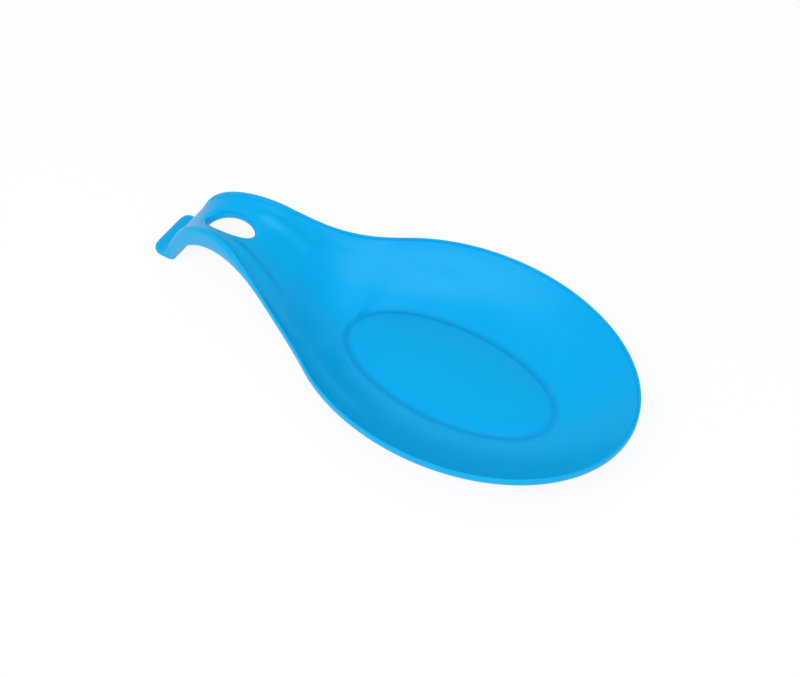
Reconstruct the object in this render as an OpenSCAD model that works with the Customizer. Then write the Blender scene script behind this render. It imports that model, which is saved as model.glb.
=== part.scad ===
// Spoon rest: one silicone moulding, with a dish, an arched handle, a hanging slot and a foot.
// Lengths are millimetres. X runs from the lip to the dish, Z is up, and the origin lies on
// the counter, midway along the length and the width.

/* [Overall] */
// Length, from the tip of the lip to the end of the dish
total_length = 196.6; // [186:0.2:206]
// Width of the dish across its rim
dish_width = 93.4; // [88:0.2:99]
// Height of the level rim of the dish
rim_height = 18.7; // [16:0.1:21]
// Height of the top of the arched handle
crest_height = 31.4; // [29:0.1:34]

/* [Dish] */
// Length of the oval that the dish's outline follows
dish_length = 130; // [124:0.2:136]
// Thickness of the wall
wall = 3; // [2.4:0.1:3.6]
// Radius of the rim's rounded edges
edge_r = 0.7; // [0.4:0.05:1.2]
// Power of the curve that the wall follows from the base up to the rim
wall_curve = 1.6; // [1.4:0.05:2]

/* [Flat base] */
// Length of the flat oval base
base_length = 82.8; // [76:0.2:88]
// Width of the flat oval base
base_width = 40.4; // [36:0.2:44]
// Distance from the base to the end of the dish
base_to_end = 28.3; // [26:0.1:31]
// Width of the groove that runs round the base
groove_width = 2.2; // [1.4:0.1:3]
// Depth of the groove that runs round the base
groove_depth = 0.8; // [0.3:0.05:1.2]

/* [Neck] */
// Share of the dish oval's half length at which the neck leaves it
neck_share = 0.66; // [0.6:0.005:0.72]
// Distance from the tip to where the neck meets the straight taper of the handle
taper_length = 21.7; // [17:0.1:27]
// Slope of the rim where it climbs to the handle, in degrees
rim_slope = 26; // [22:0.5:30]
// Radius of the sweep from the level rim up to the handle
rim_sweep_r = 54; // [46:0.5:60]
// Slope of the trough where it climbs to the handle, in degrees
trough_slope = 40; // [37:0.5:44]

/* [Handle] */
// Distance from the tip to the top of the handle
crest_from_tip = 36.9; // [35:0.1:39]
// Radius of the rim where it comes over the arch from the dish
crest_r = 25.7; // [24:0.1:28]
// Radius of the rim where it comes over the arch to the leg
leg_bend_r = 26.7; // [25:0.1:29]
// Depth of the trough under the rim, at the top of the handle
trough_depth = 4.6; // [3.5:0.1:5.5]
// Power of the curve that the trough follows from its middle up to the rim
trough_curve = 2.2; // [1.8:0.05:2.6]
// Radius of the trough where it comes over the arch from the neck
trough_r = 25; // [20:0.5:30]
// Depth of the side faces at the top of the handle
side_depth = 7.4; // [6:0.1:8.5]
// Thickness through the middle of the handle at its top
core = 2.8; // [2.4:0.1:4]
// Distance by which the highest point of the underside lies towards the neck
underside_shift = 4.6; // [3:0.1:6]
// Height of the soft rib on each side of the trough
rib_height = 1; // [0.2:0.05:1.2]
// Length of the soft ribs
rib_length = 26; // [18:0.5:30]

/* [Leg and lip] */
// Slope of the leg, in degrees
leg_slope = 61; // [57:0.5:65]
// Width of the leg, where its taper would reach the tip
leg_width = 19.2; // [17:0.1:21]
// Thickness of the leg
leg_wall = 4.3; // [3.8:0.1:5]
// Thickness of the lip, with the foot under it
lip_wall = 3.5; // [3.1:0.1:4]
// Width of the lip
lip_width = 22; // [20:0.1:23]
// Length over which the lip widens out from the leg
lip_flare_length = 8; // [6:0.1:10]
// Radius of the lip's corners
lip_corner_r = 3.6; // [2.6:0.1:4]
// Radius in the angle between the leg and the top of the lip
lip_fillet_r = 2.2; // [1.4:0.1:2.6]
// Radius of the heel, where the foot turns up into the leg
heel_r = 2.4; // [1.8:0.1:3]

/* [Hanging slot] */
// Length of the slot
slot_length = 20.8; // [17:0.2:22]
// Width of the slot
slot_width = 9.6; // [8:0.1:11]
// Distance from the tip to the middle of the slot
slot_from_tip = 32.5; // [30:0.1:34]

/* [Hidden] */

// Places along the length
tip_x = -total_length / 2;
end_x = total_length / 2;
dish_x = end_x - dish_length / 2;
base_x = end_x - base_to_end - base_length / 2;
base_tip_x = base_x - base_length / 2;
join_x = dish_x - neck_share * dish_length / 2;
taper_x = tip_x + taper_length;
crest_x = tip_x + crest_from_tip;
slot_x = tip_x + slot_from_tip;
flare_x = tip_x + lip_flare_length;

// Stretches of the outline, from the end of the dish to the tip, and the steps in each
dish_steps = 40;
tip_steps = 10;
stretches = [
    ["dish", dish_steps],
    ["sweep", 9],
    ["climb", 4],
    ["crest", 6],
    ["bend", 11],
    ["leg", 4],
    ["fillet", 4],
    ["lip", 1],
    ["tip", tip_steps]
];
top_steps = 9;
edge_steps = 4;
under_steps = 7;
slot_sides = 56;

overrun = wall;

// Outline seen from above: the dish's oval, the flare of the neck, and the handle's taper
function oval_y(x, mid, len, wid) = wid / 2 * sqrt(max(0, 1 - pow(2 * (x - mid) / len, 2)));
join_y = oval_y(join_x, dish_x, dish_length, dish_width);
join_flare = (dish_width / dish_length) * neck_share / sqrt(1 - pow(neck_share, 2));
neck_len = join_x - taper_x;
taper = (join_y - neck_len * join_flare / 2 - leg_width / 2) / (neck_len / 2 + taper_length);
neck_bend = (join_flare - taper) / neck_len;
taper_y = leg_width / 2 + taper * taper_length;
lip_flare = (lip_width - leg_width) / 2;
function half_width(x) =
    x > join_x ? oval_y(x, dish_x, dish_length, dish_width) :
    x > taper_x ? taper_y + taper * (x - taper_x) + neck_bend * pow(x - taper_x, 2) / 2 :
    taper_y + taper * (x - taper_x)
        + lip_flare * sqrt(min(1, max(0, (flare_x - x) / (flare_x - tip_x))));

// Side view: straight lines and arcs that run on into each other. A line is kept as its
// distance from the origin along its normal, and normals are given by their lean from +Z.
function lean(a) = [sin(a), 0, cos(a)];
function line_of(x, z, a) = x * sin(a) + z * cos(a);
// Radius of the arc with its top at x, z that runs on into a line
function arc_to_line(x, z, a, line) = (line - line_of(x, z, a)) / (1 - cos(a));

// Each curve of the side view is [sweep x, sweep z, sweep radius, climb angle, radius on the
// dish's side, crest x, crest z, radius on the leg's side, level of the lip, lip radius]

rim_line = line_of(crest_x, crest_height - crest_r, rim_slope) + crest_r;
leg_line = line_of(crest_x, crest_height - leg_bend_r, -leg_slope) + leg_bend_r;
inner_leg_line = leg_line - leg_wall;
sweep_x = (rim_line + rim_sweep_r - (rim_height + rim_sweep_r) * cos(rim_slope)) / sin(rim_slope);

rim_top = [sweep_x, rim_height, rim_sweep_r, rim_slope, crest_r,
    crest_x, crest_height, leg_bend_r, lip_wall, lip_fillet_r];

under_x = crest_x + underside_shift;
side_z = crest_height - side_depth;
rim_bottom = [sweep_x, rim_height - wall, rim_sweep_r + wall, rim_slope,
    arc_to_line(under_x, side_z, rim_slope, rim_line - wall),
    under_x, side_z, arc_to_line(under_x, side_z, -leg_slope, inner_leg_line), 0, heel_r];

trough_z = crest_height - trough_depth;
trough_line = line_of(crest_x, trough_z - trough_r, trough_slope) + trough_r;
trough_sweep_r = (line_of(base_tip_x, wall, trough_slope) - trough_line) / (1 - cos(trough_slope));
trough_top = [base_tip_x, wall, trough_sweep_r, trough_slope, trough_r,
    crest_x, trough_z, arc_to_line(crest_x, trough_z, -leg_slope, leg_line), lip_wall, lip_fillet_r];

core_x = crest_x + underside_shift / 2;
core_z = trough_z - core;
trough_bottom = [base_tip_x, 0, trough_sweep_r + wall, trough_slope,
    arc_to_line(core_x, core_z, trough_slope, trough_line - wall),
    core_x, core_z, arc_to_line(core_x, core_z, -leg_slope, inner_leg_line), 0, heel_r];

function mix(a, b, f) = a + (b - a) * f;
function arc_point(x, z, r, a) = [x + r * sin(a), 0, z + r * cos(a)];
function sweep_end(c) = arc_point(c[0], c[1] + c[2], -c[2], c[3]);
function climb_end(c) = arc_point(c[5], c[6] - c[4], c[4], c[3]);
function leg_top(c) = arc_point(c[5], c[6] - c[7], c[7], -leg_slope);
// The arc at the leg's foot: its middle stands its radius above the lip's level
function foot_mid(c) =
    let (top = leg_top(c), z = c[8] + c[9] * (1 - cos(leg_slope)))
    [top[0] - (top[2] - z) / tan(leg_slope) - c[9] * sin(leg_slope), 0, c[8] + c[9]];
function leg_foot(c) = let (m = foot_mid(c)) arc_point(m[0], m[2], -c[9], -leg_slope);
lip_end_x = tip_x + lip_corner_r;

// Point and normal of a side-view curve, at share f of a stretch
function side_point(c, stretch, f) =
    stretch == "sweep" ? arc_point(c[0], c[1] + c[2], -c[2], f * c[3]) :
    stretch == "climb" ? mix(sweep_end(c), climb_end(c), f) :
    stretch == "crest" ? arc_point(c[5], c[6] - c[4], c[4], (1 - f) * c[3]) :
    stretch == "bend" ? arc_point(c[5], c[6] - c[7], c[7], -f * leg_slope) :
    stretch == "leg" ? mix(leg_top(c), leg_foot(c), f) :
    stretch == "fillet" ? let (m = foot_mid(c)) arc_point(m[0], m[2], -c[9], (f - 1) * leg_slope) :
    [mix(foot_mid(c)[0], lip_end_x, stretch == "lip" ? f : 1), 0, c[8]];
function side_normal(c, stretch, f) =
    stretch == "sweep" ? lean(f * c[3]) :
    stretch == "climb" ? lean(c[3]) :
    stretch == "crest" ? lean((1 - f) * c[3]) :
    stretch == "bend" ? lean(-f * leg_slope) :
    stretch == "leg" ? lean(-leg_slope) :
    stretch == "fillet" ? lean((f - 1) * leg_slope) : [0, 0, 1];

// Stations round one half of the rim: [stretch, share of it]
stations = [for (k = stretches, i = [0:k[1] - 1]) [k[0], i / k[1]], ["tip", 1]];
last = len(stations) - 1;
base_last = dish_steps;
pole = last - tip_steps;

// The dish's stations go round its outline and round the base's oval side by side
dish_turn_share = 7 / 9;
dish_turn = 180 * dish_turn_share;
function base_turn(a) = atan2(base_width * dish_length * sin(a), base_length * dish_width * cos(a));
turn_late = 4;
function paired_turn(f) =
    base_turn(f * dish_turn) + (180 - base_turn(dish_turn)) * pow(f, turn_late);
function dish_edge(f, z) =
    let (x = mix(end_x, sweep_x, (1 - cos(f * dish_turn)) / (1 - cos(dish_turn)))) [x, half_width(x), z];
function base_edge(f, z, inset = 0) =
    let (a = f < 1 ? paired_turn(f) : 180)
    [base_x + (base_length / 2 - inset) * cos(a), f < 1 ? (base_width / 2 - inset) * sin(a) : 0, z];

// The tip's stations go round the lip's corner and then straight across to the middle
tip_half = half_width(lip_end_x);
corner_share = 0.6;
function tip_edge(f, z) =
    f < corner_share
    ? let (a = 90 * f / corner_share)
      [lip_end_x - lip_corner_r * sin(a), tip_half - lip_corner_r * (1 - cos(a)), z]
    : [tip_x, (tip_half - lip_corner_r) * (1 - f) / (1 - corner_share), z];

function widened(p) = [p[0], half_width(p[0]), p[2]];
function edge_point(s, curve, z) =
    s[0] == "dish" ? dish_edge(s[1], z) :
    s[0] == "tip" ? tip_edge(s[1], curve[8]) : widened(side_point(curve, s[0], s[1]));
function middle_point(s, curve, z) =
    s[0] == "dish" ? base_edge(s[1], z) : side_point(curve, s[0], s[1]);
function normal_at(s, curve) = s[0] == "dish" ? [0, 0, 1] : side_normal(curve, s[0], s[1]);

tops = [for (s = stations) edge_point(s, rim_top, rim_height)];
bottoms = [for (s = stations) edge_point(s, rim_bottom, rim_height - wall)];

// Power of the curve across the wall: that of the dish, changing to that of the trough
function curve_at(s) =
    let (x = middle_point(s, trough_top, wall)[0])
    s[0] == "dish" ? wall_curve
    : mix(wall_curve, trough_curve, min(1, (base_tip_x - x) / (base_tip_x - crest_x)));

// Outward direction at a station: square to the rim's own run and to its normal
function unit(v) = v / norm(v);
function outward(i, normal) =
    i == 0 ? [1, 0, 0] : i == last ? [-1, 0, 0] :
    unit(cross(normal, tops[min(i + 1, last)] - tops[i - 1]) * -1);

// Soft ribs stand up beside the trough, and die away at both ends
rib_place_share = 0.59;
rib_spread_share = 0.11;
rib_x = crest_x + rib_length / 2;
function rib_at(x) = let (d = 2 * (x - rib_x) / rib_length) abs(d) < 1 ? rib_height * pow(1 - d * d, 2) : 0;
function rib_shape(f) = exp(-pow((f - rib_place_share) / rib_spread_share, 2));

// A run of points from the middle out to the rounded edge, flat in the middle. A run that
// rises by less than a small share of the edge's radius counts as level.
level_share = 0.01;
function run_out(from, to, up, slope, count, rib) =
    let (v = to - from, rise = v * up, flat = v - rise * up,
         power = rise > level_share * edge_r ? max(1, tan(slope) * norm(flat) / rise) : 1)
    [for (j = [0:count]) let (f = j / count)
        from + f * flat + (rise * pow(f, power) + rib * rib_shape(f)) * up];
function edge_slope(from, to, up, power) =
    let (v = to - from, rise = v * up) atan(power * max(0, rise) / norm(v - rise * up));

// Outline of the cut through the wall at a station: along the top from the middle out, round
// the rim, and back along the underside. On the base it starts in the groove.
function section(i) =
    let (s = stations[i],
         up = normal_at(s, rim_top), down = normal_at(s, rim_bottom), out = outward(i, up),
         middle = middle_point(s, trough_top, wall),
         under = middle_point(s, trough_bottom, 0),
         high = tops[i] - edge_r * (out + up),
         low = bottoms[i] - edge_r * (out - down),
         a = edge_slope(middle, high + edge_r * up, up, curve_at(s)),
         b = edge_slope(under, low - edge_r * down, down, curve_at(s)),
         top = run_out(middle, high + edge_r * (cos(a) * up - sin(a) * out), up, a, top_steps,
             s[0] == "dish" ? 0 : rib_at(middle[0])),
         bottom = run_out(under, low + edge_r * (sin(b) * out - cos(b) * down), down, b, under_steps, 0),
         on_base = i <= base_last,
         flat_way = unit([tops[i][0] - middle[0], tops[i][1] - middle[1], 0]))
    concat(
        [on_base ? middle - [0, 0, groove_depth] : middle],
        [on_base ? middle + groove_width / 2 * flat_way : (middle + top[1]) / 2],
        [for (j = [1:top_steps]) top[j]],
        [for (j = [1:edge_steps - 1]) let (t = mix(90 + a, 0, j / edge_steps))
            high + edge_r * (cos(t) * out + sin(t) * up)],
        [high + edge_r * out, low + edge_r * out],
        [for (j = [1:edge_steps - 1]) let (t = mix(0, b - 90, j / edge_steps))
            low + edge_r * (cos(t) * out + sin(t) * down)],
        [for (j = [under_steps:-1:0]) bottom[j]]
    );
half = [for (i = [0:last]) section(i)];
rings = len(half[0]);

// All the way round: the stations of one half, then their mirror images back again
count = 2 * last;
function station_of(i) = i <= last ? i : count - i;
function sided(p, i) = i <= last ? p : [p[0], -p[1], p[2]];
flat_edge = [for (i = [0:base_last]) base_edge(i / base_last, wall, groove_width / 2)];
flat_count = 2 * base_last;
function flat_station(k) = k <= base_last ? k : flat_count - k;
function flat_sided(p, k) = k <= base_last ? p : [p[0], -p[1], p[2]];
corners = concat(
    [for (i = [0:count - 1]) for (p = half[station_of(i)]) sided(p, i)],
    [for (k = [0:flat_count - 1]) flat_sided(flat_edge[flat_station(k)], k)]
);

// Number of a corner; both halves share the corners on the middle line, and the tip's
// stations share the one that they turn about
function at(i, j) =
    let (n = i % count, s = station_of(n), inner = j == 0 || j == rings - 1)
    (inner && s >= base_last ? min(s, pole) : n) * rings + j;
function flat_at(k) = count * rings + k % flat_count;
function around(k) = k <= base_last ? k : count - flat_count + k;

function whole(face) = face[0] != face[1] && face[1] != face[2] && face[2] != face[0];
function pair(a, b, c, d, turned) = turned ? [[a, b, c], [a, c, d]] : [[a, b, d], [b, c, d]];
// A ring of corners is filled with strips that run across it, from one half to the other
function filled(ring) =
    let (n = len(ring))
    [for (k = [0:n / 2 - 1])
        for (f = pair(ring[k], ring[k + 1], ring[n - k - 1], ring[(n - k) % n], false)) if (whole(f)) f];
faces = [
    for (i = [0:count - 1], j = [0:rings - 2])
        for (f = pair(at(i, j), at(i + 1, j), at(i + 1, j + 1), at(i, j + 1), i < last)) if (whole(f)) f,
    for (k = [0:flat_count - 1])
        for (f = pair(flat_at(k), flat_at(k + 1), at(around(k + 1), 0), at(around(k), 0), k < base_last))
            if (whole(f)) f,
    each filled([for (k = [flat_count:-1:1]) flat_at(k)]),
    each filled([for (k = [0:flat_count - 1]) at(around(k), rings - 1)])
];

module moulding_body() {
    polyhedron(points = corners, faces = faces, convexity = 6);
}

// The slot goes straight through, the way the mould opens
module hanging_slot() {
    translate([slot_x, 0, 0])
        linear_extrude(crest_height + overrun)
            scale([slot_length / 2, slot_width / 2])
                circle(r = 1, $fn = slot_sides);
}

module spoon_rest_moulding() {
    color([0.0, 0.65, 0.9])
        difference() {
            moulding_body();
            hanging_slot();
        }
}

spoon_rest_moulding();
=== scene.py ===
import math
import bpy
import numpy as np
from mathutils import Matrix, Vector


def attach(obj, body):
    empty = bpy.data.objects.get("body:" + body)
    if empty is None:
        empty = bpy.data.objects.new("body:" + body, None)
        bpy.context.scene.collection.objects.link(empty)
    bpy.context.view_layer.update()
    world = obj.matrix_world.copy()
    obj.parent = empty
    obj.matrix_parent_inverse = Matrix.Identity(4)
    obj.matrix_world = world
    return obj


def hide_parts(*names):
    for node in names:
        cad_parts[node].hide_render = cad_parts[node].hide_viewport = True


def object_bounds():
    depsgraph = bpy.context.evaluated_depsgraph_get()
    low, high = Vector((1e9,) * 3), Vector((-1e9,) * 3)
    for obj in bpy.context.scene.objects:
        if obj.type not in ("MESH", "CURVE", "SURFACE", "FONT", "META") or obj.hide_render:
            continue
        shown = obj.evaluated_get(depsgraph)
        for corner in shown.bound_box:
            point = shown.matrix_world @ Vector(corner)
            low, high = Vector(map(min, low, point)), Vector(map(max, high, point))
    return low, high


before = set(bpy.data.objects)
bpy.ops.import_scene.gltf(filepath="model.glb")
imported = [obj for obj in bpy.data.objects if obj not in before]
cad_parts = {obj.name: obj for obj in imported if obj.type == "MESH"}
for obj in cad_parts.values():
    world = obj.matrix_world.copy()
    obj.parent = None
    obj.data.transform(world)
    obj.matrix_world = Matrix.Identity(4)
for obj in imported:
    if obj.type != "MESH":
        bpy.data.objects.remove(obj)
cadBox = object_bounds()
print("spoon rest: CAD frame loaded")

mm = 0.001
tiny = 1e-6  # counts as nothing: guards divisions and marks the mirror plane


def linearColour(hexText):
    # sRGB hex to the linear values that shader sockets take
    parts = [int(hexText[i:i + 2], 16) / 255 for i in (1, 3, 5)]
    return [c / 12.92 if c <= 0.04045 else ((c + 0.055) / 1.055) ** 2.4 for c in parts] + [1.0]


def addNode(tree, kind, settings=None, inputs=None):
    # adds a node, sets its properties and feeds its sockets with values or links
    made = tree.nodes.new(kind)
    for name, value in (settings or {}).items():
        setattr(made, name, value)
    for name, value in (inputs or {}).items():
        socket = made.inputs[name]
        if isinstance(value, bpy.types.NodeSocket):
            tree.links.new(value, socket)
        else:
            socket.default_value = value
    return made


def mathNode(tree, operation, *values):
    # the result of a Math node
    made = addNode(tree, "ShaderNodeMath", {"operation": operation}, dict(enumerate(values)))
    return made.outputs[0]


# shape of the moulding, in millimetres
moulding = {
    "length": 196.6,
    "dishWidth": 93.4,
    "dishLength": 130.0,
    "rimHeight": 18.7,
    "crestHeight": 31.4,
    "wall": 3.0,
    "rimEdgeRadius": 0.5,
    "handleEdgeRadius": 1.4,
    "footEdgeRadius": 1.5,
    "handleEdgePlace": -35.0,
    "handleEdgeFade": 25.0,
    "footEdgeLength": 12.0,
    "footEdgeFade": 8.0,
    "dishCurve": 1.6,
    "baseLength": 82.8,
    "baseWidth": 40.4,
    "baseToEnd": 28.3,
    "dishTurn": 140.0,  # how far round the dish its stations go, in degrees
    "catchUpPower": 4,  # how late the base's points catch up with the rim's
    "neckShare": 0.66,
    "taperLength": 21.7,
    "leadLength": 28.0,
    "leadPower": 1.5,
    "rimSlope": 26.0,
    "rimSweepRadius": 54.0,
    "troughSlope": 40.0,
    "crestFromTip": 36.9,
    "crestRadius": 25.7,
    "legBendRadius": 26.7,
    "troughDepth": 4.6,
    "troughCurve": 2.2,
    "troughRadius": 25.0,
    "sideDepth": 7.4,
    "core": 2.8,
    "undersideShift": 4.6,
    "ribHeight": 1.05,
    "ribLength": 28.0,
    "ribPlace": 0.57,
    "ribInner": 0.11,
    "ribOuter": 0.22,
    "ribValleyDepth": 0.28,
    "ribValleyPlace": 0.71,
    "ribValleyWidth": 0.05,
    "legSlope": 61.0,
    "legWidth": 19.2,
    "legWall": 4.3,
    "lipWall": 3.5,
    "lipWidth": 22.0,
    "lipFlareLength": 8.0,
    "lipCornerRadius": 3.6,
    "lipFilletRadius": 2.2,
    "heelRadius": 3.2,
    "heelReach": 0.9,
    "heelTop": 5.5,
    "heelFade": 4.0,
    "slotLength": 20.8,
    "slotWidth": 9.6,
    "slotFromTip": 32.5,
    "slotFilletTop": 2.1,
    "slotFilletBelow": 0.35,
}
m = moulding

# how finely the shape is sampled: counts, distances in millimetres, and crowding as a power
sampling = {
    "arcPoints": 80,
    "legPoints": 40,
    "dishStations": 84,
    "neckStart": 1.0,
    "neckStep": 0.9,
    "slotStations": 33,
    "slotMargin": 2.4,
    "legStep": 0.5,
    "lipMargin": 0.3,
    "cornerStations": 9,
    "tipStations": 7,
    "grooveSteps": [0, 0.2, 0.4, 0.6, 0.8, 1.0, 1.3, 1.8],
    "slotSteps": [0, 0.08, 0.25, 0.55, 0.95, 1.45, 2.0, 2.8],
    "wallSteps": 30,
    "edgeSteps": 6,
    "underSteps": 16,
    "crowding": 1.5,
    "ovalSides": 360,
}

tipX = -m["length"] / 2
endX = m["length"] / 2
dishX = endX - m["dishLength"] / 2
baseX = endX - m["baseToEnd"] - m["baseLength"] / 2
baseTipX = baseX - m["baseLength"] / 2
joinX = dishX - m["neckShare"] * m["dishLength"] / 2
taperX = tipX + m["taperLength"]
crestX = tipX + m["crestFromTip"]
slotX = tipX + m["slotFromTip"]
flareX = tipX + m["lipFlareLength"]
lipEndX = tipX + m["lipCornerRadius"]


def smoothStep(v):
    v = np.clip(v, 0, 1)
    return v * v * (3 - 2 * v)


def dishOval(x):
    return m["dishWidth"] / 2 * np.sqrt(np.maximum(0, 1 - (2 * (x - dishX) / m["dishLength"]) ** 2))


def planCurve():
    # taper and bend of the neck, so that it runs on into the dish's oval
    reach = m["neckShare"]
    joinY = float(dishOval(joinX))
    joinFlare = m["dishWidth"] / m["dishLength"] * reach / math.sqrt(1 - reach ** 2)
    neck = joinX - taperX
    taper = (joinY - neck * joinFlare / 2 - m["legWidth"] / 2) / (neck / 2 + m["taperLength"])
    return taper, (joinFlare - taper) / neck


planTaper, planBend = planCurve()


def halfWidth(x):
    # half the width of the plan: the dish's oval, and past it the neck, the leg and the lip
    x = np.asarray(x, dtype=float)
    taperY = m["legWidth"] / 2 + planTaper * m["taperLength"]
    run = x - taperX
    flareShare = np.sqrt(np.clip((flareX - x) / (flareX - tipX), 0, 1))
    flare = (m["lipWidth"] - m["legWidth"]) / 2 * flareShare
    handle = taperY + planTaper * run + np.where(run > 0, planBend * run ** 2 / 2, flare)
    return np.where(x > joinX, dishOval(x), handle)


def lineOf(x, z, angle):
    # distance from the origin to the line whose normal leans by angle from +Z
    return x * math.sin(math.radians(angle)) + z * math.cos(math.radians(angle))


def arcToLine(x, z, angle, line):
    # radius of the arc with its top at x, z that runs on into the line
    return (line - lineOf(x, z, angle)) / (1 - math.cos(math.radians(angle)))


def sideCurve(sweepX, sweepZ, sweepRadius, climb, dishRadius,
              topX, topZ, legRadius, lipZ, filletRadius):
    # side view from the dish to the tip, as dense points with the lean of their normals
    points = [(endX, sweepZ, 0.0)]

    def arc(x, z, radius, start, stop, steps):
        for angle in np.linspace(start, stop, steps):
            t = math.radians(angle)
            points.append((x + radius * math.sin(t), z + radius * math.cos(t), angle))

    arc(sweepX, sweepZ + sweepRadius, -sweepRadius, 0, climb, sampling["arcPoints"])
    arc(topX, topZ - dishRadius, dishRadius, climb, 0, sampling["arcPoints"])
    arc(topX, topZ - legRadius, legRadius, 0, -m["legSlope"], sampling["arcPoints"])
    slope = math.radians(m["legSlope"])
    footZ = lipZ + filletRadius * (1 - math.cos(slope))
    lastX, lastZ = points[-1][0], points[-1][1]
    footX = lastX - (lastZ - footZ) / math.tan(slope) - filletRadius * math.sin(slope)
    # the leg's straight stretch needs its own points, as it is bent later on
    low = (footX + filletRadius * math.sin(slope), footZ)
    for f in np.linspace(0, 1, sampling["legPoints"])[1:-1]:
        points.append((lastX + (low[0] - lastX) * f, lastZ + (low[1] - lastZ) * f, -m["legSlope"]))
    arc(footX, lipZ + filletRadius, -filletRadius, -m["legSlope"], 0, sampling["legPoints"])
    points.append((tipX, lipZ, 0.0))
    rows = np.array(points)[::-1]
    if lipZ == 0:
        # the heel stands out behind the foot and runs up into the leg
        foot = (rows[:, 0] < crestX) & (rows[:, 0] > tipX)
        rows[foot, 0] += m["heelReach"] * smoothStep((m["heelTop"] - rows[foot, 1]) / m["heelFade"])
    return rows


# the straight stretches of the side view are lines, and the arcs run on into them
rimLine = lineOf(crestX, m["crestHeight"] - m["crestRadius"], m["rimSlope"]) + m["crestRadius"]
legLine = lineOf(crestX, m["crestHeight"] - m["legBendRadius"], -m["legSlope"]) + m["legBendRadius"]
innerLegLine = legLine - m["legWall"]
rimSlope = math.radians(m["rimSlope"])
sweepCentreZ = m["rimHeight"] + m["rimSweepRadius"]
sweepX = (rimLine + m["rimSweepRadius"] - sweepCentreZ * math.cos(rimSlope)) / math.sin(rimSlope)
underX = crestX + m["undersideShift"]
sideZ = m["crestHeight"] - m["sideDepth"]
troughZ = m["crestHeight"] - m["troughDepth"]
troughLine = lineOf(crestX, troughZ - m["troughRadius"], m["troughSlope"]) + m["troughRadius"]
troughSweepRadius = ((lineOf(baseTipX, m["wall"], m["troughSlope"]) - troughLine)
                     / (1 - math.cos(math.radians(m["troughSlope"]))))
coreX = crestX + m["undersideShift"] / 2
coreZ = troughZ - m["core"]

sideViews = {
    "rimTop": sideCurve(
        sweepX, m["rimHeight"], m["rimSweepRadius"], m["rimSlope"], m["crestRadius"],
        crestX, m["crestHeight"], m["legBendRadius"], m["lipWall"], m["lipFilletRadius"]),
    "rimBottom": sideCurve(
        sweepX, m["rimHeight"] - m["wall"], m["rimSweepRadius"] + m["wall"], m["rimSlope"],
        arcToLine(underX, sideZ, m["rimSlope"], rimLine - m["wall"]),
        underX, sideZ, arcToLine(underX, sideZ, -m["legSlope"], innerLegLine), 0, m["heelRadius"]),
    "troughTop": sideCurve(
        baseTipX, m["wall"], troughSweepRadius, m["troughSlope"], m["troughRadius"],
        crestX, troughZ, arcToLine(crestX, troughZ, -m["legSlope"], legLine),
        m["lipWall"], m["lipFilletRadius"]),
    "troughBottom": sideCurve(
        baseTipX, 0, troughSweepRadius + m["wall"], m["troughSlope"],
        arcToLine(coreX, coreZ, m["troughSlope"], troughLine - m["wall"]),
        coreX, coreZ, arcToLine(coreX, coreZ, -m["legSlope"], innerLegLine), 0, m["heelRadius"]),
}


def sideZAt(name, x):
    rows = sideViews[name]
    return np.interp(x, rows[:, 0], rows[:, 1])


def leanAt(name, x):
    rows = sideViews[name]
    angle = math.radians(float(np.interp(x, rows[:, 0], rows[:, 2])))
    return np.array([math.sin(angle), 0, math.cos(angle)])


def slotHalf(x):
    # half the slot's width, in plan
    return m["slotWidth"] / 2 * math.sqrt(max(0, 1 - (2 * (x - slotX) / m["slotLength"]) ** 2))


def dishStations():
    # a station is one place along the rim, with a middle, a base and an edge point in plan
    turn = math.radians(m["dishTurn"])

    def baseTurn(a):
        return math.atan2(m["baseWidth"] * m["dishLength"] * math.sin(a),
                          m["baseLength"] * m["dishWidth"] * math.cos(a))

    late = math.pi - baseTurn(turn)
    made = []
    for i in range(sampling["dishStations"]):
        f = i / sampling["dishStations"]
        b = baseTurn(f * turn) + late * f ** m["catchUpPower"]
        edgeX = endX + (sweepX - endX) * (1 - math.cos(f * turn)) / (1 - math.cos(turn))
        made.append({
            "kind": "dish",
            "middle": (baseX + (m["baseLength"] - m["baseWidth"]) / 2 * math.cos(b), 0.0),
            "base": (baseX + m["baseLength"] / 2 * math.cos(b), m["baseWidth"] / 2 * math.sin(b)),
            "edge": (edgeX, float(halfWidth(edgeX))),
        })
    made[0]["base"] = (baseX + m["baseLength"] / 2, 0.0)
    made[0]["edge"] = (endX, 0.0)
    made.append({
        "kind": "dish",
        "middle": (baseX - (m["baseLength"] - m["baseWidth"]) / 2, 0.0),
        "base": (baseTipX, 0.0),
        "edge": (sweepX, float(halfWidth(sweepX))),
    })
    return made


def handleStations():
    slotEnd, slotStart = slotX + m["slotLength"] / 2, slotX - m["slotLength"] / 2
    xs = [baseTipX - d for d in sampling["grooveSteps"][1:]]
    xs += list(np.arange(xs[-1] - sampling["neckStart"], slotEnd + sampling["slotMargin"],
                         -sampling["neckStep"]))
    xs += [slotEnd + d for d in reversed(sampling["slotSteps"])]
    turns = np.linspace(0, math.pi, sampling["slotStations"])[1:-1]
    xs += [slotX + m["slotLength"] / 2 * math.cos(t) for t in turns]
    xs += [slotStart - d for d in sampling["slotSteps"]]
    xs += list(np.arange(xs[-1] - sampling["legStep"], lipEndX + sampling["lipMargin"],
                         -sampling["legStep"]))
    xs.append(lipEndX)
    # at the base's tip the edge point is ahead of the middle one, and they draw level on the neck
    lead = sweepX - baseTipX
    made = []
    for x in xs:
        fade = max(0.0, 1 - (baseTipX - x) / m["leadLength"]) ** m["leadPower"]
        edgeX = x + lead * fade
        made.append({"kind": "handle", "middle": (x, 0.0), "base": (x, slotHalf(x)),
                     "edge": (edgeX, float(halfWidth(edgeX)))})
    return made


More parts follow.
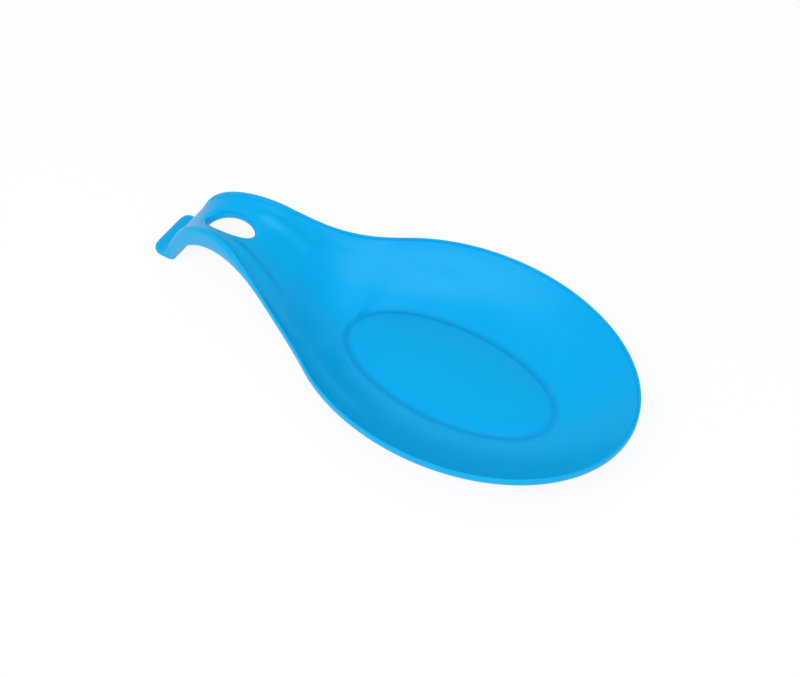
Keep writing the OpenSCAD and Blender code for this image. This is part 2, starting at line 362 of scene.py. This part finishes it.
def cornerStations():
    half = float(halfWidth(lipEndX))
    r = m["lipCornerRadius"]
    pole = (lipEndX, 0.0)
    made = []
    for t in np.linspace(0, math.pi / 2, sampling["cornerStations"])[1:]:
        made.append({"kind": "lip", "middle": pole, "base": pole,
                     "edge": (lipEndX - r * math.sin(t), half - r * (1 - math.cos(t)))})
    for y in np.linspace(half - r, 0, sampling["tipStations"])[1:]:
        made.append({"kind": "lip", "middle": pole, "base": pole, "edge": (tipX, float(y))})
    return made


stations = dishStations() + handleStations() + cornerStations()
edgePlan = np.array([s["edge"] for s in stations])


def roundedLip():
    # the flare of the lip runs round its corner without a kink: the plan is evened out there
    rounding = {"places": 12000, "reach": 4, "softness": 1.1, "length": 16, "fade": 6, "pull": 12}
    count = len(stations)
    mirror = edgePlan[-2::-1] * [1, -1]
    ring = np.concatenate([edgePlan, mirror])
    run = np.concatenate([[0], np.cumsum(np.hypot(*np.diff(ring, axis=0).T))])
    even = np.linspace(0, run[-1], rounding["places"])
    dense = np.column_stack([np.interp(even, run, ring[:, k]) for k in range(2)])
    step = even[1]
    steps = int(rounding["reach"] / step)
    reach = np.arange(-steps, steps + 1) * step
    weights = np.exp(-(reach / rounding["softness"]) ** 2 / 2)
    weights /= weights.sum()
    soft = np.column_stack([np.interp(run, even, np.convolve(dense[:, k], weights, "same"))
                            for k in range(2)])
    share = smoothStep((tipX + rounding["length"] - edgePlan[:, 0]) / rounding["fade"])[:, None]
    edgePlan[:] = edgePlan + (soft[:count] - edgePlan) * share
    pull = smoothStep((tipX + rounding["pull"] - edgePlan[:, 0]) / rounding["pull"])
    edgePlan[:, 0] += (tipX - edgePlan[-1, 0]) * pull
    edgePlan[-1, 1] = 0.0
    for s, place in zip(stations, edgePlan):
        s["edge"] = tuple(place)


def ribAt(x, share):
    # soft ribs beside the trough, steep inside and falling slowly outside but for a shallow
    # valley, and dying away at both ends
    d = 2 * (x - (crestX + m["ribLength"] / 2)) / m["ribLength"]
    along = np.where(np.abs(d) < 1, (1 - d ** 4) ** 2, 0)
    fromTop = share - m["ribPlace"]
    width = np.where(fromTop > 0, m["ribOuter"], m["ribInner"])
    fromValley = (share - m["ribValleyPlace"]) / m["ribValleyWidth"]
    valley = m["ribValleyDepth"] * np.exp(-fromValley ** 2)
    return along * (m["ribHeight"] * np.exp(-(fromTop / width) ** 2) - valley)


def edgeRadii(x):
    # upper edges are crisp round the dish and softer on the handle, and lower edges are crisp
    # everywhere but at the foot, where they are rounder
    onHandle = smoothStep((m["handleEdgePlace"] - x) / m["handleEdgeFade"])
    onFoot = smoothStep((tipX + m["footEdgeLength"] - x) / m["footEdgeFade"])
    handle = m["rimEdgeRadius"] + (m["handleEdgeRadius"] - m["rimEdgeRadius"]) * onHandle
    foot = m["rimEdgeRadius"] + (m["footEdgeRadius"] - m["rimEdgeRadius"]) * onFoot
    return float(handle), float(foot)


def slotDrop(x, y, radius):
    # how far a rounded edge round the slot lies under the flat surface
    dx, dy = 2 * (x - slotX) / m["slotLength"], 2 * y / m["slotWidth"]
    level = np.sqrt(dx ** 2 + dy ** 2)
    slope = np.sqrt((2 * dx / m["slotLength"]) ** 2 + (2 * dy / m["slotWidth"]) ** 2)
    slope = slope / np.maximum(level, tiny)
    away = np.maximum(0, (level - 1) / np.maximum(slope, tiny))
    inside = np.clip(radius - away, 0, radius)
    return radius - np.sqrt(radius ** 2 - inside ** 2)


def spread(start, stop, count, power):
    # places that crowd towards the stop
    return stop - (stop - start) * (1 - np.linspace(0, 1, count)) ** power


def sectionAt(i):
    # closed cut through the wall: out along the top, round the rim, back underneath, up the slot
    s = stations[i]
    mid, base, edge = (np.array(s[k]) for k in ("middle", "base", "edge"))
    isDish = s["kind"] == "dish"
    curve = m["dishCurve"]
    if not isDish:
        alongNeck = min(1.0, (baseTipX - base[0]) / (baseTipX - crestX))
        curve += (m["troughCurve"] - m["dishCurve"]) * alongNeck
    before, after = edgePlan[max(i - 1, 0)], edgePlan[min(i + 1, len(stations) - 1)]
    heading = np.array([after[0] - before[0], after[1] - before[1]])
    if i == 0:
        heading = np.array([0.0, 1.0])
    if i == len(stations) - 1:
        heading = np.array([0.0, -1.0])
    topZ = float(sideZAt("rimTop", edge[0]))
    lowZ = float(sideZAt("rimBottom", edge[0]))
    up, down = leanAt("rimTop", edge[0]), leanAt("rimBottom", edge[0])
    out = np.array([heading[1], -heading[0], 0.0])
    out = out - up * out.dot(up)
    out /= np.linalg.norm(out)
    start = base if isDish else mid
    run = max(tiny, math.hypot(*(edge - start)))
    midTop = float(sideZAt("troughTop", mid[0])) if not isDish else m["wall"]
    midLow = float(sideZAt("troughBottom", mid[0])) if not isDish else 0.0
    r, rLow = edgeRadii(edge[0])
    topCorner, lowCorner = np.array([edge[0], edge[1], topZ]), np.array([edge[0], edge[1], lowZ])
    high = topCorner - r * (out + up)
    low = lowCorner - rLow * (out - down)
    a = math.atan(curve * max(0, topZ - midTop) / run)
    b = math.atan(curve * max(0, lowZ - midLow) / run)

    def surface(plan, level, rim, share, side, fillet):
        # side is 1 for the upper surface and -1 for the lower one
        z = level + (rim - level) * share ** curve
        if not isDish:
            z = z - side * slotDrop(plan[:, 0], plan[:, 1], fillet)
        return np.column_stack([plan, z])

    arcTop = [high + r * (math.cos(t) * out + math.sin(t) * up)
              for t in np.linspace(math.pi / 2 + a, 0, sampling["edgeSteps"] + 1)]
    arcLow = [low + rLow * (math.cos(t) * out + math.sin(t) * down)
              for t in np.linspace(0, b - math.pi / 2, sampling["edgeSteps"] + 1)]

    near = sampling["grooveSteps"] if isDish or slotHalf(base[0]) == 0 else sampling["slotSteps"]
    firstShare = math.hypot(*(base - start)) / run
    near = np.array(near) / run

    def across(stopPoint, steps):
        # shares of the way from the middle to the edge at which a surface gets its points
        stop = 1 - math.hypot(*(np.array(stopPoint[:2]) - edge)) / run
        rest = spread(firstShare + near[-1], stop, steps + 1, sampling["crowding"])[1:-1]
        return np.concatenate([firstShare + near, rest])

    topShares = across(arcTop[0], sampling["wallSteps"])
    lowShares = across(arcLow[-1], sampling["underSteps"])
    topPlan = start + (edge - start) * topShares[:, None]
    lowPlan = start + (edge - start) * lowShares[:, None]
    if s["kind"] == "lip":
        # round the lip the rows run to the start of the rounded edge, so that none crosses another
        ends = ((arcTop[0], len(topShares)), (arcLow[-1], len(lowShares)))
        topPlan, lowPlan = (start + (stop[:2] - start) * np.linspace(0, 1, count + 1)[:-1, None]
                            for stop, count in ends)
    top = surface(topPlan, midTop, topZ, topShares, 1, m["slotFilletTop"])
    under = surface(lowPlan, midLow, lowZ, lowShares, -1, m["slotFilletBelow"])
    # in the dish the rows start on the flat floor, and elsewhere those points fall together
    inner = []
    gap = base - mid
    length = math.hypot(*gap)
    for d in reversed(sampling["grooveSteps"][1:]):
        f = max(0.0, 1 - d / length) if isDish and length > 0 else 1.0
        x, y = mid + gap * f
        inner.append([x, y, m["wall"]])
    if isDish:
        ring = [[mid[0], mid[1], m["wall"]]] + inner
        closing = [[mid[0], mid[1], 0.0]]
    else:
        ring = [list(top[0])] * (len(inner) + 1)
        closing = [list(under[0])]
    rows = ring + list(top) + arcTop + arcLow + list(under[::-1]) + closing
    rows.append(rows[0])
    return np.array(rows) * mm


roundedLip()
sections = np.array([sectionAt(i) for i in range(len(stations))])


def easedSurface(columns):
    # the wall runs on from the dish into the neck: heights are evened out over a few millimetres
    easing = {"from": -52.0, "to": 24.0, "margin": 20, "fade": 16.0, "clear": 0.3, "whole": 1.6,
              "reach": 8.0, "leastReach": 0.8, "reachShare": 0.6, "rimShare": 0.3,
              "leastHalf": 1, "leastWeight": 0.001}
    x, y, z = (sections[:, columns, k] / mm for k in range(3))
    ahead = np.gradient(x, axis=0), np.gradient(y, axis=0)
    across = np.gradient(x, axis=1), np.gradient(y, axis=1)
    area = np.abs(ahead[0] * across[1] - ahead[1] * across[0])
    near = (x > easing["from"] - easing["margin"]) & (x < easing["to"] + easing["margin"])
    sx, sy, sz, sa = (v[near] for v in (x, y, z, area))
    sx, sy, sz, sa = np.tile(sx, 2), np.concatenate([sy, -sy]), np.tile(sz, 2), np.tile(sa, 2)
    level = np.sqrt((2 * (x - baseX) / m["baseLength"]) ** 2 + (2 * y / m["baseWidth"]) ** 2)
    away = (level - 1) * m["baseWidth"] / 2
    shareOut = y / np.maximum(halfWidth(x), easing["leastHalf"])

    weight = (smoothStep((away - easing["clear"]) / easing["whole"])
              * smoothStep((1 - shareOut) / easing["rimShare"])
              * smoothStep((x - easing["from"]) / easing["fade"])
              * smoothStep((easing["to"] - x) / easing["fade"]))
    for i, j in zip(*np.nonzero(weight > easing["leastWeight"])):
        dx, dy = sx - x[i, j], sy - y[i, j]
        reach = min(easing["reach"], max(easing["leastReach"], easing["reachShare"] * away[i, j]))
        w = sa * np.exp(-(dx * dx + dy * dy) / (2 * reach ** 2))
        rows = np.column_stack([np.ones_like(dx), dx, dy])
        fitted = np.linalg.solve(rows.T @ (rows * w[:, None]), rows.T @ (w * sz))
        z[i, j] += (fitted[0] - z[i, j]) * weight[i, j]
    sections[:, columns, 2] = z * mm


# the columns of a section that hold its upper and its lower surface
topFirst = len(sampling["grooveSteps"])
topCount = len(sampling["grooveSteps"]) + sampling["wallSteps"] - 1
lowFirst = topFirst + topCount + 2 * (sampling["edgeSteps"] + 1)
lowCount = len(sampling["grooveSteps"]) + sampling["underSteps"] - 1
easedSurface(slice(topFirst, topFirst + topCount))
easedSurface(slice(lowFirst, lowFirst + lowCount))
onHandle = [i for i, s in enumerate(stations) if s["kind"] == "handle"]
topRows = sections[onHandle, topFirst:topFirst + topCount]
towardEdge = topRows[:, :, 1] / mm / edgePlan[onHandle, 1][:, None]
topRows[:, :, 2] += ribAt(topRows[:, :, 0] / mm, towardEdge) * mm
sections[onHandle, topFirst:topFirst + topCount] = topRows
# nothing reaches past the part's own box
sections[:, :, 1] = np.minimum(sections[:, :, 1], cadBox[1][1])
sections[:, :, 2] = np.clip(sections[:, :, 2], cadBox[0][2], cadBox[1][2])
print("spoon rest:", sections.shape[0], "sections of", sections.shape[1], "points")


def sectionCurves():
    # the sections as curves, whose points the node tree reads
    data = bpy.data.curves.new("restSections", "CURVE")
    data.dimensions = "3D"
    for rows in sections:
        spline = data.splines.new("POLY")
        spline.points.add(len(rows) - 1)
        spline.points.foreach_set("co", np.column_stack([rows, np.ones(len(rows))]).ravel())
    made = bpy.data.objects.new("restSections", data)
    bpy.context.scene.collection.objects.link(made)
    return made


pressing = {
    "Stations": sections.shape[0],
    "Points": sections.shape[1],
    "Base Length": m["baseLength"] * mm,
    "Base Width": m["baseWidth"] * mm,
    "Base Place": baseX * mm,
    "Floor Level": m["wall"] * mm,
    "Groove Width": 4.4 * mm,
    "Groove Depth": 0.5 * mm,
    "Merge Distance": 0.002 * mm,
}


def loftTree(material):
    # lays a grid over the sections, mirrors it, presses the groove along the base's oval and stores
    # the groove's share, with which the material paints shade along it
    tree = bpy.data.node_groups.new("spoonRestLoft", "GeometryNodeTree")
    tree.interface.new_socket(name="Geometry", in_out="INPUT", socket_type="NodeSocketGeometry")
    tree.interface.new_socket(name="Geometry", in_out="OUTPUT", socket_type="NodeSocketGeometry")
    for name, value in pressing.items():
        kind = "NodeSocketInt" if isinstance(value, int) else "NodeSocketFloat"
        tree.interface.new_socket(name=name, in_out="INPUT", socket_type=kind)
    given = addNode(tree, "NodeGroupInput").outputs

    # one grid row for each section, one column for each of its points
    grid = addNode(tree, "GeometryNodeMeshGrid",
                   inputs={"Vertices X": given["Stations"], "Vertices Y": given["Points"]})
    index = addNode(tree, "GeometryNodeInputIndex")
    place = addNode(tree, "GeometryNodeInputPosition")
    sampled = addNode(tree, "GeometryNodeSampleIndex",
                      {"data_type": "FLOAT_VECTOR", "domain": "POINT"},
                      {"Geometry": given["Geometry"], "Value": place.outputs[0],
                       "Index": index.outputs[0]})
    lofted = addNode(tree, "GeometryNodeSetPosition",
                     inputs={"Geometry": grid.outputs["Mesh"],
                             "Position": sampled.outputs["Value"]})

    # faces that lie wholly in the mirror plane go, and the rest is mirrored and joined
    apart = addNode(tree, "ShaderNodeSeparateXYZ", inputs={"Vector": place.outputs[0]})
    away = mathNode(tree, "ABSOLUTE", apart.outputs["Y"])
    flat = addNode(tree, "FunctionNodeCompare", {"data_type": "FLOAT", "operation": "LESS_THAN"},
                   {"A": away, "B": tiny * mm})
    half = addNode(tree, "GeometryNodeDeleteGeometry", {"domain": "FACE", "mode": "ALL"},
                   {"Geometry": lofted.outputs[0], "Selection": flat.outputs[0]})
    other = addNode(tree, "GeometryNodeTransform",
                    inputs={"Geometry": half.outputs[0], "Scale": (1, -1, 1)})
    turned = addNode(tree, "GeometryNodeFlipFaces", inputs={"Mesh": half.outputs[0]})
    both = addNode(tree, "GeometryNodeJoinGeometry")
    for piece in (turned, other):
        tree.links.new(piece.outputs[0], both.inputs[0])
    whole = addNode(tree, "GeometryNodeMergeByDistance",
                    inputs={"Geometry": both.outputs[0], "Distance": given["Merge Distance"]})

    # the groove follows the base's oval and fades out over half its width
    circle = addNode(tree, "GeometryNodeCurvePrimitiveCircle",
                     inputs={"Resolution": sampling["ovalSides"], "Radius": 0.5})
    size = addNode(tree, "ShaderNodeCombineXYZ",
                   inputs={"X": given["Base Length"], "Y": given["Base Width"], "Z": 1.0})
    spot = addNode(tree, "ShaderNodeCombineXYZ",
                   inputs={"X": given["Base Place"], "Z": given["Floor Level"]})
    oval = addNode(tree, "GeometryNodeTransform",
                   inputs={"Geometry": circle.outputs["Curve"], "Translation": spot.outputs[0],
                           "Scale": size.outputs[0]})
    path = addNode(tree, "GeometryNodeCurveToMesh", inputs={"Curve": oval.outputs[0]})
    near = addNode(tree, "GeometryNodeProximity", {"target_element": "EDGES"},
                   {"Geometry": path.outputs[0]})
    reach = mathNode(tree, "MULTIPLY", given["Groove Width"], 0.5)
    share = addNode(tree, "ShaderNodeMapRange", {"interpolation_type": "SMOOTHSTEP"},
                    {"Value": near.outputs["Distance"], "From Min": 0.0, "From Max": reach,
                     "To Min": 1.0, "To Max": 0.0})
    press = mathNode(tree, "MULTIPLY", share.outputs[0], given["Groove Depth"])
    sunk = mathNode(tree, "MULTIPLY", press, -1.0)
    offset = addNode(tree, "ShaderNodeCombineXYZ", inputs={"Z": sunk})
    middle = mathNode(tree, "MULTIPLY", given["Floor Level"], 0.5)
    onTop = addNode(tree, "FunctionNodeCompare",
                    {"data_type": "FLOAT", "operation": "GREATER_THAN"},
                    {"A": apart.outputs["Z"], "B": middle})
    grooved = addNode(tree, "GeometryNodeSetPosition",
                      inputs={"Geometry": whole.outputs[0], "Selection": onTop.outputs[0],
                              "Offset": offset.outputs[0]})
    # the groove's share is stored for the material, which paints shade along the groove with it
    noted = addNode(tree, "GeometryNodeStoreNamedAttribute",
                    {"data_type": "FLOAT", "domain": "POINT"},
                    {"Geometry": grooved.outputs[0], "Name": "grooveShare",
                     "Value": share.outputs[0]})
    smooth = addNode(tree, "GeometryNodeSetShadeSmooth", inputs={"Geometry": noted.outputs[0]})
    real = addNode(tree, "GeometryNodeRealizeInstances", inputs={"Geometry": smooth.outputs[0]})
    dressed = addNode(tree, "GeometryNodeSetMaterial",
                      inputs={"Geometry": real.outputs[0], "Material": material})
    result = addNode(tree, "NodeGroupOutput")
    tree.links.new(dressed.outputs[0], result.inputs[0])
    return tree


def siliconeMaterial():
    # moulded silicone: satin, its sheen blue face on and pale at a glancing angle,
    # with the grain of a blasted mould, drawn coarser than the real grain so that it shows, and
    # painted shade along the groove
    look = {"base": "#00AAE4", "groove": "#009AD8", "tint": "#88CCFF", "roughness": 0.34,
            "ior": 1.38, "grainSize": 0.45, "grainDepth": 0.02, "grainStrength": 0.12,
            "grainDetail": 3.0, "grainRoughness": 0.6,
            "glow": 0.3, "glowReach": (0.1, 0.8, 1.0), "glowDepth": 2.0}
    made = bpy.data.materials.new("moulded blue silicone")
    made.use_nodes = True
    tree = made.node_tree
    tree.nodes.clear()
    where = addNode(tree, "ShaderNodeTexCoord").outputs["Object"]
    grain = addNode(tree, "ShaderNodeTexNoise", {"noise_dimensions": "3D"},
                    {"Vector": where, "Scale": 1 / (look["grainSize"] * mm),
                     "Detail": look["grainDetail"], "Roughness": look["grainRoughness"]})
    bump = addNode(tree, "ShaderNodeBump",
                   inputs={"Strength": look["grainStrength"], "Distance": look["grainDepth"] * mm,
                           "Height": grain.outputs[0]})
    # painted shade: the colour turns a darker blue along the groove, standing in for the shade that
    # gathers there
    groove = addNode(tree, "ShaderNodeAttribute", {"attribute_name": "grooveShare"})
    grooveShadeMix = addNode(tree, "ShaderNodeMix", {"data_type": "RGBA"}, {
        "Factor": groove.outputs["Fac"],
        "A": linearColour(look["base"]), "B": linearColour(look["groove"])})
    shader = addNode(tree, "ShaderNodeBsdfPrincipled", inputs={
        "Base Color": grooveShadeMix.outputs["Result"], "Roughness": look["roughness"], "IOR": look["ior"],
        "Specular Tint": linearColour(look["tint"]),
        "Subsurface Weight": look["glow"], "Subsurface Radius": look["glowReach"],
        "Subsurface Scale": look["glowDepth"] * mm,
        "Normal": bump.outputs[0]})
    surface = addNode(tree, "ShaderNodeOutputMaterial")
    tree.links.new(shader.outputs[0], surface.inputs[0])
    return made


silicone = siliconeMaterial()
source = sectionCurves()
modifier = source.modifiers.new("loft", "NODES")
modifier.node_group = loftTree(silicone)
for item in modifier.node_group.interface.items_tree:
    if item.item_type == "SOCKET" and item.in_out == "INPUT" and item.name in pressing:
        modifier[item.identifier] = pressing[item.name]
depsgraph = bpy.context.evaluated_depsgraph_get()
lofted = source.evaluated_get(depsgraph)
mesh = bpy.data.meshes.new_from_object(lofted, preserve_all_data_layers=True, depsgraph=depsgraph)
mesh.materials.clear()
mesh.materials.append(silicone)
mesh.polygons.foreach_set("material_index", [0] * len(mesh.polygons))
body = bpy.data.objects.new("spoon_rest_body", mesh)
bpy.context.scene.collection.objects.link(body)
bpy.data.objects.remove(source)
print("spoon rest: lofted", len(mesh.vertices), "points,", len(mesh.polygons), "faces")

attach(body, "root")
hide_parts("spoon_rest_moulding")


def showsWhite(tree):
    # 1 for the rays that show the white background: to the camera, off a gloss and through glass
    rays = addNode(tree, "ShaderNodeLightPath").outputs
    bent = mathNode(tree, "MAXIMUM", rays["Is Glossy Ray"], rays["Is Transmission Ray"])
    return mathNode(tree, "MAXIMUM", rays["Is Camera Ray"], bent)


def whiteStage():
    # a white floor that keeps a faint share of the object's soft shadow
    look = {"size": 12.0, "paper": "#FCFCFC", "whiteShare": 0.88}
    size = look["size"]
    sheet = bpy.data.meshes.new("floor")
    corners = [(-size, -size, 0), (size, -size, 0), (size, size, 0), (-size, size, 0)]
    sheet.from_pydata(corners, [], [(0, 1, 2, 3)])
    floor = bpy.data.objects.new("floor", sheet)
    bpy.context.scene.collection.objects.link(floor)
    paint = bpy.data.materials.new("white paper")
    paint.use_nodes = True
    tree = paint.node_tree
    tree.nodes.clear()
    share = mathNode(tree, "MULTIPLY", showsWhite(tree), look["whiteShare"])
    lit = addNode(tree, "ShaderNodeBsdfDiffuse", inputs={"Color": linearColour(look["paper"])})
    white = addNode(tree, "ShaderNodeEmission", inputs={"Color": (1, 1, 1, 1), "Strength": 1.0})
    mixed = addNode(tree, "ShaderNodeMixShader", inputs={0: share})
    tree.links.new(lit.outputs[0], mixed.inputs[1])
    tree.links.new(white.outputs[0], mixed.inputs[2])
    surface = addNode(tree, "ShaderNodeOutputMaterial")
    tree.links.new(mixed.outputs[0], surface.inputs[0])
    sheet.materials.append(paint)


def worldLight():
    # level light from all round for the object, plain white wherever the background shows
    level = 0.505
    world = bpy.data.worlds.new("studio")
    bpy.context.scene.world = world
    world.use_nodes = True
    tree = world.node_tree
    tree.nodes.clear()
    seen = addNode(tree, "ShaderNodeBackground", inputs={"Color": (1, 1, 1, 1), "Strength": 1.0})
    lit = addNode(tree, "ShaderNodeBackground", inputs={"Color": (1, 1, 1, 1), "Strength": level})
    mixed = addNode(tree, "ShaderNodeMixShader", inputs={0: showsWhite(tree)})
    tree.links.new(lit.outputs[0], mixed.inputs[1])
    tree.links.new(seen.outputs[0], mixed.inputs[2])
    result = addNode(tree, "ShaderNodeOutputWorld")
    tree.links.new(mixed.outputs[0], result.inputs[0])


# one bright box ahead of the object for its highlights, one weak box above it
lamps = {
    "key": {"place": (0.1, -0.56, 0.83), "size": (1.05, 0.3), "power": 6.3},
    "top": {"place": (0.1, -0.05, 1.0), "size": (0.35, 0.35), "power": 0.85},
}


def softBox(name, place, size, power):
    # a soft box that faces the origin
    lamp = bpy.data.lights.new(name, "AREA")
    lamp.shape = "RECTANGLE"
    lamp.size, lamp.size_y = size
    lamp.energy = power
    made = bpy.data.objects.new(name, lamp)
    made.location = place
    made.rotation_euler = (-Vector(place)).to_track_quat("-Z", "Y").to_euler()
    bpy.context.scene.collection.objects.link(made)


def photoCamera():
    # the photograph's view: 32.6 degrees round, 52.5 degrees up, about half a metre away
    view = {"azimuth": 32.56, "elevation": 52.53, "distance": 0.495,
            "right": 0.01754, "up": -0.01172, "lookAt": (0.0286, 0, 0.003),
            "lens": 62.51, "sensor": 36.0, "nearest": 0.01}
    a, e = math.radians(view["azimuth"]), math.radians(view["elevation"])
    back = Vector((math.sin(a) * math.cos(e), -math.cos(a) * math.cos(e), math.sin(e)))
    right = Vector((math.cos(a), math.sin(a), 0))
    up = back.cross(right)
    place = Vector(view["lookAt"]) + back * view["distance"]
    place = place - right * view["right"] - up * view["up"]
    data = bpy.data.cameras.new("photo view")
    data.lens = view["lens"]
    data.sensor_width = view["sensor"]
    data.sensor_fit = "HORIZONTAL"
    data.clip_start = view["nearest"]
    made = bpy.data.objects.new("photo view", data)
    made.matrix_world = Matrix.Translation(place) @ Matrix((right, up, back)).transposed().to_4x4()
    bpy.context.scene.collection.objects.link(made)
    bpy.context.scene.camera = made


whiteStage()
worldLight()
for name, lamp in lamps.items():
    softBox(name, **lamp)
photoCamera()
bpy.context.scene.view_settings.view_transform = "Standard"
print("spoon rest: floor, light and camera placed")
